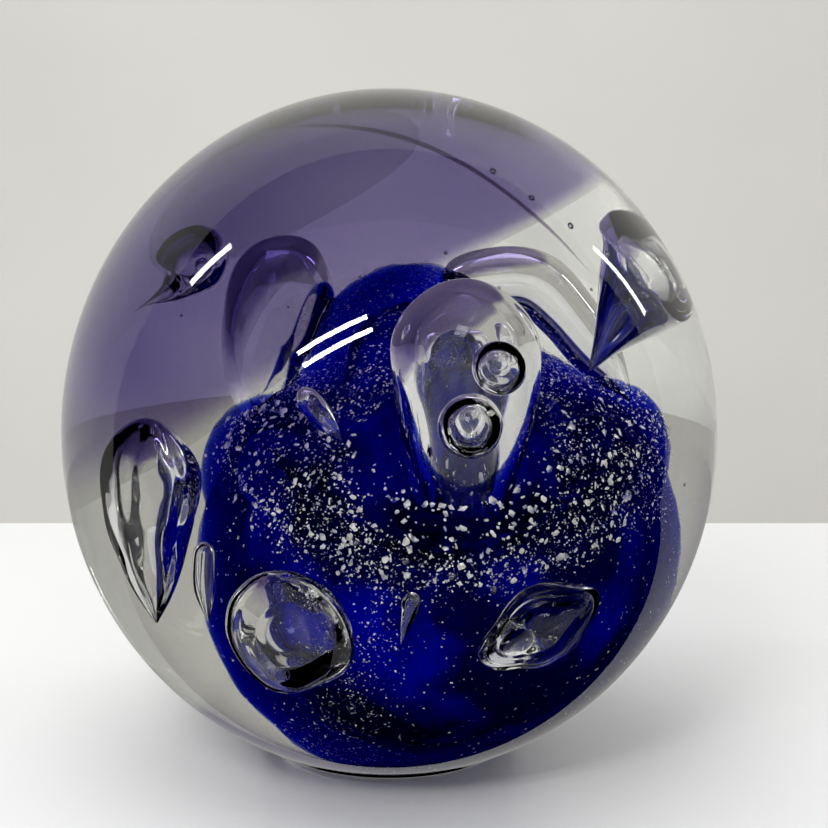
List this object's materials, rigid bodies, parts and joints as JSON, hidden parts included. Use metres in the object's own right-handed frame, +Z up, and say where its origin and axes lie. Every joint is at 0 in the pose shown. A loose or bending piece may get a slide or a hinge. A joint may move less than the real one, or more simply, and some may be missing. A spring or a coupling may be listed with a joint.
{
  "type": "paperweight",
  "caption": "Solid hand-made glass ball paperweight: a cobalt core with silver flecks and air bubbles under a violet veil, cased in clear glass, ground flat below",
  "frame": {"origin": "centre of the flat ground base", "axes": "+Z up, -Y towards the front with the two large low bubbles, +X to the clear side on the right"},
  "size_m": [0.084, 0.084, 0.0853],
  "materials": {
    "clear_glass": "clear crystal, fire polished",
    "amethyst_glass": "thin transparent violet glass",
    "cobalt_glass": "dense cobalt glass with fine silver dust",
    "silver_mica": "bright leaf-like flecks",
    "trapped_air": "sealed air, bright at its edges"
  },
  "bodies": {
    "root": {"outer_gather": "clear_glass", "amethyst_veil": "amethyst_glass", "inner_gather": "clear_glass", "cobalt_core": "cobalt_glass", "silver_flecks": "silver_mica", "bubble_center": "trapped_air", "bubble_center_ring": "trapped_air", "bubble_center_pearl": "trapped_air", "bubble_front_left": "trapped_air", "bubble_front_left_slim": "trapped_air", "bubble_front_right": "trapped_air", "bubble_side_left": "trapped_air", "bubble_upper_left": "trapped_air", "bubble_upper_right": "trapped_air", "bubble_back_left": "trapped_air", "bubble_back_right": "trapped_air", "bubble_drip": "trapped_air", "bubble_shoulder": "trapped_air", "seed_bubbles": "trapped_air"}
  },
  "joints": []
}
